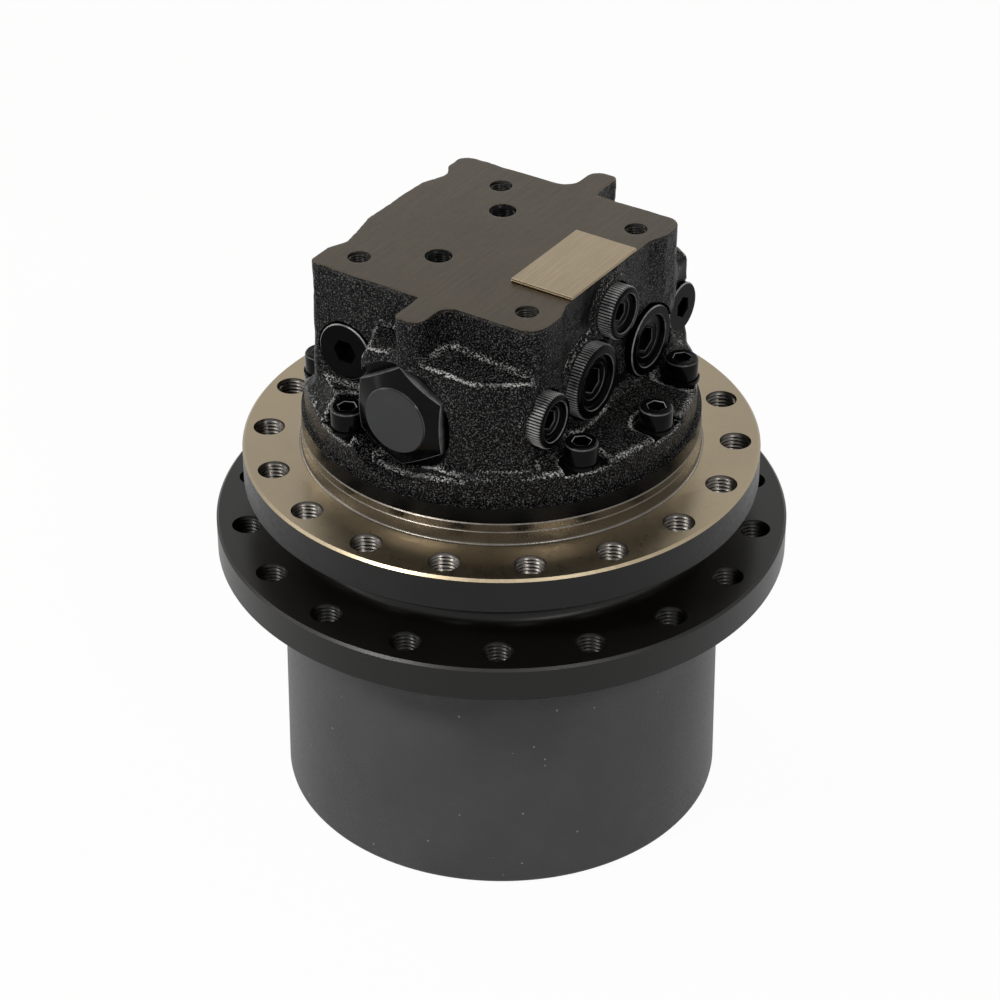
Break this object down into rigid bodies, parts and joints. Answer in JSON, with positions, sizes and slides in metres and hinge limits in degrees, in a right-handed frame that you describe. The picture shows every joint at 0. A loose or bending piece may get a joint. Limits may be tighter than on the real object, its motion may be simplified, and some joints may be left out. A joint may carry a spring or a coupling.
{
  "type": "excavator final drive",
  "caption": "Travel final drive: hub drum with sprocket flange, fixed frame flange, planetary gear stages, axial piston motor with brake, and a cast valve block on top.",
  "frame": {"origin": "centre of the drum's closed end, on the axis of rotation, at the foot rim's plane", "axes": "+Z along the axis of rotation from the drum's closed end to the valve block; +X towards the face of the valve block that carries most of the plugs; -Y towards the single large hexagon cap beside the front plug"},
  "size_m": [0.284, 0.284, 0.3031],
  "materials": {
    "casting_black": "glossy black paint on a rough casting",
    "drum_paint": "matte dark grey paint on a fine casting",
    "turned_steel": "fine turned, warm grey",
    "black_oxide": "black oxide, satin",
    "gear_steel": "ground and hardened",
    "bearing_steel": "polished",
    "lining": "sintered lining on a steel core",
    "seal_rubber": "smooth",
    "bronze": "machined bronze",
    "plate_metal": "champagne anodised"
  },
  "bodies": {
    "housing": {"spindle": "turned_steel", "valve_block": "casting_black", "cap_screw_1": "black_oxide", "cap_screw_2": "black_oxide", "cap_screw_3": "black_oxide", "cap_screw_4": "black_oxide", "cap_screw_5": "black_oxide", "cap_screw_6": "black_oxide", "cap_screw_7": "black_oxide", "nameplate": "plate_metal", "port_plug_upper": "black_oxide", "port_plug_main": "black_oxide", "port_plug_lower": "black_oxide", "return_plug_main": "black_oxide", "return_plug_small": "black_oxide", "valve_plug_front": "black_oxide", "spool_cap_front": "black_oxide", "spool_cap_rear": "black_oxide", "spool_spring_front": "bearing_steel", "spool_spring_rear": "bearing_steel", "seal_ring_frame": "gear_steel", "seal_rubber_frame": "seal_rubber", "bearing_inner_lower": "bearing_steel", "bearing_inner_upper": "bearing_steel", "bearing_nut": "gear_steel", "output_carrier": "gear_steel", "swash_plate": "gear_steel", "valve_plate": "bronze", "brake_spring": "bearing_steel", "brake_plate_upper": "gear_steel", "brake_plate_lower": "gear_steel", "shaft_bearing_lower": "bearing_steel", "shaft_bearing_upper": "bearing_steel"},
    "drum": {"hub_drum": "drum_paint", "end_cover": "drum_paint", "cover_retaining_ring": "black_oxide", "cover_o_ring": "seal_rubber", "oil_plug_1": "black_oxide", "oil_plug_2": "black_oxide", "seal_ring_hub": "gear_steel", "seal_rubber_hub": "seal_rubber", "bearing_outer_lower": "bearing_steel", "bearing_outer_upper": "bearing_steel"},
    "ball_set_lower": {"ball_cage_lower": "bronze"},
    "ball_set_upper": {"ball_cage_upper": "bronze"},
    "first_stage": {"first_carrier": "gear_steel", "second_sun_gear": "gear_steel"},
    "input_shaft": {"first_sun_shaft": "gear_steel", "motor_shaft": "gear_steel", "cylinder_block": "gear_steel", "friction_disc": "lining"},
    "shoe_set": {"shoe_plate": "bronze"},
    "brake_slider": {"brake_piston": "gear_steel"},
    "spool": {"counterbalance_spool": "gear_steel"},
    "first_planet_1_body": {"first_planet_1": "gear_steel"},
    "first_planet_2_body": {"first_planet_2": "gear_steel"},
    "first_planet_3_body": {"first_planet_3": "gear_steel"},
    "second_planet_1_body": {"second_planet_1": "gear_steel"},
    "second_planet_2_body": {"second_planet_2": "gear_steel"},
    "second_planet_3_body": {"second_planet_3": "gear_steel"}
  },
  "joints": [
    {"name": "drum_spin", "type": "hinge", "parent": "housing", "child": "drum", "pos_m": [0, 0, 0.1], "axis": [0, 0, 1], "continuous": true},
    {"name": "first_stage_spin", "type": "hinge", "parent": "housing", "child": "first_stage", "pos_m": [0, 0, 0.0479], "axis": [0, 0, 1], "continuous": true},
    {"name": "input_spin", "type": "hinge", "parent": "housing", "child": "input_shaft", "pos_m": [0, 0, 0.15], "axis": [0, 0, 1], "continuous": true},
    {"name": "shoe_set_spin", "type": "hinge", "parent": "housing", "child": "shoe_set", "pos_m": [0, 0, 0.13208], "axis": [0, -0.2079, 0.9781], "continuous": true},
    {"name": "ball_set_lower_spin", "type": "hinge", "parent": "housing", "child": "ball_set_lower", "pos_m": [0, 0, 0.1191], "axis": [0, 0, 1], "continuous": true},
    {"name": "ball_set_upper_spin", "type": "hinge", "parent": "housing", "child": "ball_set_upper", "pos_m": [0, 0, 0.1432], "axis": [0, 0, 1], "continuous": true},
    {"name": "second_planet_1_spin", "type": "hinge", "parent": "housing", "child": "second_planet_1_body", "pos_m": [0.0585, 0, 0.0703], "axis": [0, 0, 1], "continuous": true},
    {"name": "second_planet_2_spin", "type": "hinge", "parent": "housing", "child": "second_planet_2_body", "pos_m": [-0.02925, 0.05066, 0.0703], "axis": [0, 0, 1], "continuous": true},
    {"name": "second_planet_3_spin", "type": "hinge", "parent": "housing", "child": "second_planet_3_body", "pos_m": [-0.02925, -0.05066, 0.0703], "axis": [0, 0, 1], "continuous": true},
    {"name": "first_planet_1_spin", "type": "hinge", "parent": "first_stage", "child": "first_planet_1_body", "pos_m": [0.054, 0, 0.0327], "axis": [0, 0, 1], "continuous": true},
    {"name": "first_planet_2_spin", "type": "hinge", "parent": "first_stage", "child": "first_planet_2_body", "pos_m": [-0.027, 0.04677, 0.0327], "axis": [0, 0, 1], "continuous": true},
    {"name": "first_planet_3_spin", "type": "hinge", "parent": "first_stage", "child": "first_planet_3_body", "pos_m": [-0.027, -0.04677, 0.0327], "axis": [0, 0, 1], "continuous": true},
    {"name": "brake_release", "type": "slide", "parent": "housing", "child": "brake_slider", "axis": [0, 0, 1], "range_m": [0, 0.001], "stiffness_N_per_m": 20000, "springref_m": -0.001, "deforming": ["brake_spring"]},
    {"name": "spool_shift", "type": "slide", "parent": "housing", "child": "spool", "axis": [0, 1, 0], "range_m": [-0.005, 0.005], "stiffness_N_per_m": 2000, "deforming": ["spool_spring_front", "spool_spring_rear"]}
  ],
  "couplings": [
    {"joint": "first_stage_spin", "follows": "drum_spin", "ratio": -4.2},
    {"joint": "input_spin", "follows": "drum_spin", "ratio": -40.6},
    {"joint": "shoe_set_spin", "follows": "drum_spin", "ratio": -40.6},
    {"joint": "ball_set_lower_spin", "follows": "drum_spin", "ratio": 0.54},
    {"joint": "ball_set_upper_spin", "follows": "drum_spin", "ratio": 0.54},
    {"joint": "second_planet_1_spin", "follows": "drum_spin", "ratio": 2.625},
    {"joint": "second_planet_2_spin", "follows": "drum_spin", "ratio": 2.625},
    {"joint": "second_planet_3_spin", "follows": "drum_spin", "ratio": 2.625},
    {"joint": "first_planet_1_spin", "follows": "drum_spin", "ratio": 12.133},
    {"joint": "first_planet_2_spin", "follows": "drum_spin", "ratio": 12.133},
    {"joint": "first_planet_3_spin", "follows": "drum_spin", "ratio": 12.133}
  ]
}
